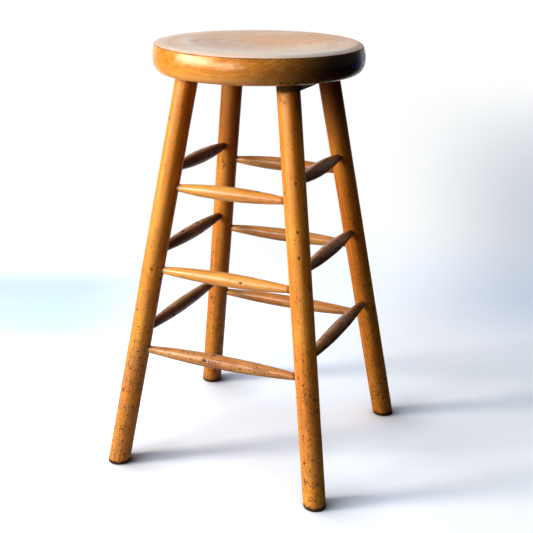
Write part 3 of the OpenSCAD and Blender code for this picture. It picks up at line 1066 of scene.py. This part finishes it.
def screw_tree():
    """Four slotted screws, head down: a shaped bar with its slot sawn out, and a ridge wound round it."""
    names = (
        "Head radius", "Head height", "Shank radius", "Core radius", "Length", "Point", "Plain", "Pitch",
        "Slot width", "Slot depth", "Across", "Along", "Height",
    )
    tree, sizes = node_tree("wood_screws", names)
    bar = wire(tree, "GeometryNodeMeshCylinder", {
        "Vertices": screw_turns, "Side Segments": screw_rings, "Radius": 1, "Depth": 1,
    })
    spot = split(tree, wire(tree, "GeometryNodeInputPosition"))
    up = plus(tree, spot[2], 0.5)
    height = times(tree, up, sizes["Length"])
    cone = minus(tree, 1.0, sums(tree, "DIVIDE", height, sizes["Head height"]), clamp=True)
    head = times(tree, cone, minus(tree, sizes["Head radius"], sizes["Shank radius"]))
    cut = sums(tree, "GREATER_THAN", height, sizes["Plain"])
    thin = times(tree, cut, minus(tree, sizes["Shank radius"], sizes["Core radius"]))
    left = sums(tree, "DIVIDE", minus(tree, sizes["Length"], height), sizes["Point"], clamp=True)
    radius = plus(tree, sizes["Shank radius"], minus(tree, head, thin))
    radius = times(tree, radius, largest(tree, left, 0.02))
    at = joined(tree, times(tree, spot[0], radius), times(tree, spot[1], radius), height)
    turned = wire(tree, "GeometryNodeSetPosition", {"Geometry": bar, "Position": at})

    saw_l = times(tree, sizes["Head radius"], 3.0)
    saw_h = times(tree, sizes["Slot depth"], 2.0)
    saw = wire(tree, "GeometryNodeMeshCube", {"Size": joined(tree, saw_l, sizes["Slot width"], saw_h)})
    slotted = tree.nodes.new("GeometryNodeMeshBoolean")
    slotted.operation = "DIFFERENCE"
    slotted.solver = "EXACT"
    tree.links.new(turned, slotted.inputs["Mesh 1"])
    tree.links.new(saw, slotted.inputs["Mesh 2"])

    threaded = minus(tree, minus(tree, sizes["Length"], sizes["Point"]), sizes["Plain"])
    helix = wire(tree, "GeometryNodeCurveSpiral", {
        "Resolution": thread_steps, "Rotations": sums(tree, "DIVIDE", threaded, sizes["Pitch"]),
        "Start Radius": sizes["Core radius"], "End Radius": sizes["Core radius"], "Height": threaded,
    })
    above_plain = joined(tree, z=sizes["Plain"])
    helix = wire(tree, "GeometryNodeTransform", {"Geometry": helix, "Translation": above_plain})
    crest = minus(tree, sizes["Shank radius"], sizes["Core radius"])
    ridge = wire(tree, "GeometryNodeCurvePrimitiveCircle", {"Resolution": thread_sides, "Radius": crest})
    thread = wire(tree, "GeometryNodeCurveToMesh", {
        "Curve": helix, "Profile Curve": ridge, "Fill Caps": True,
    })
    screw = tree.nodes.new("GeometryNodeJoinGeometry")
    tree.links.new(slotted.outputs["Mesh"], screw.inputs[0])
    tree.links.new(thread, screw.inputs[0])

    # The first two go in at the front, one on each side, and the other two at the back.
    row = wire(tree, "GeometryNodeMeshLine", {"Count": screw_count}, mode="OFFSET")
    number = wire(tree, "GeometryNodeInputIndex")
    side = minus(tree, times(tree, sums(tree, "MODULO", number, 2.0), 2.0), 1.0)
    end = minus(tree, times(tree, sums(tree, "FLOOR", times(tree, number, 0.5)), 2.0), 1.0)
    hole_x = times(tree, side, sizes["Across"])
    hole_y = times(tree, end, sizes["Along"])
    holes = joined(tree, hole_x, hole_y, sizes["Height"])
    placed = wire(tree, "GeometryNodeSetPosition", {"Geometry": row, "Position": holes})
    turn = joined(tree, z=times(tree, number, slot_turn))
    screws = wire(tree, "GeometryNodeInstanceOnPoints", {
        "Points": placed, "Instance": screw.outputs[0],
        "Rotation": wire(tree, "FunctionNodeEulerToRotation", {0: turn}),
    })
    return close_tree(tree, screws, sizes["Made of"])


screws = make_piece("cleat_wood_screws", screw_tree(), {
    "Head radius": screw_head_r, "Head height": screw_head_h, "Shank radius": screw_shank_r,
    "Core radius": screw_core_r, "Length": screw_l, "Point": screw_point, "Plain": screw_plain,
    "Pitch": screw_pitch, "Slot width": slot_w, "Slot depth": slot_depth,
    "Across": leg_centre(under_z - cleat_t / 2), "Along": cleat_screw_y, "Height": cleat_under_z,
}, dull_steel())
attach(screws, "root")
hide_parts("cleat_screws")
